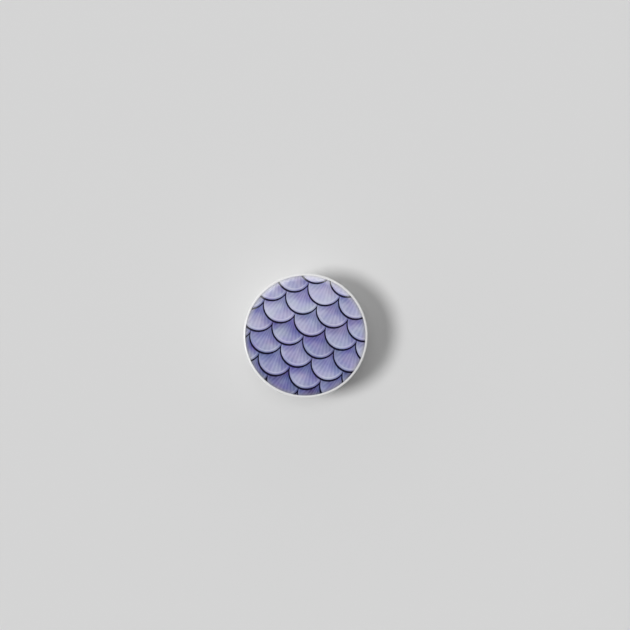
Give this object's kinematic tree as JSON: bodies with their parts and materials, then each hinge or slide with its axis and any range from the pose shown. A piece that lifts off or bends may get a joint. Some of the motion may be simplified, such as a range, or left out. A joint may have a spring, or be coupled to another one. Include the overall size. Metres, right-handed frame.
{
  "type": "collapsible phone grip",
  "caption": "Collapsible phone grip: a round printed disc, twist-locked to a folding accordion that pops out of a stick-on base.",
  "frame": {"origin": "centre of the adhesive pad's sticky face", "axes": "+Z away from the phone, towards the printed disc; +X towards one locking ear of the disc's hub"},
  "size_m": [0.04, 0.04, 0.0215],
  "materials": {
    "adhesive": "tacky matt gel",
    "base_plastic": "fine matt",
    "accordion_rubber": "silky matt",
    "disc_plastic": "gloss",
    "print": "satin print"
  },
  "bodies": {
    "base": {"adhesive_pad": "adhesive", "base_platform": "base_plastic", "lower_tier": "accordion_rubber", "lower_fold": "accordion_rubber"},
    "middle_stage": {"middle_tier": "accordion_rubber", "upper_fold": "accordion_rubber"},
    "upper_stage": {"upper_tier": "accordion_rubber", "lock_collar": "base_plastic"},
    "top": {"top_disc": "disc_plastic", "printed_face": "print"}
  },
  "joints": [
    {"name": "lower_pop", "type": "slide", "parent": "base", "child": "middle_stage", "axis": [0, 0, 1], "range_m": [-0.00755, 0], "deforming": ["lower_fold"]},
    {"name": "upper_pop", "type": "slide", "parent": "middle_stage", "child": "upper_stage", "axis": [0, 0, 1], "range_m": [-0.00735, 0], "deforming": ["upper_fold"]},
    {"name": "top_twist", "type": "hinge", "parent": "upper_stage", "child": "top", "pos_m": [0, 0, 0.0204], "axis": [0, 0, 1], "range_deg": [0, 90]}
  ]
}
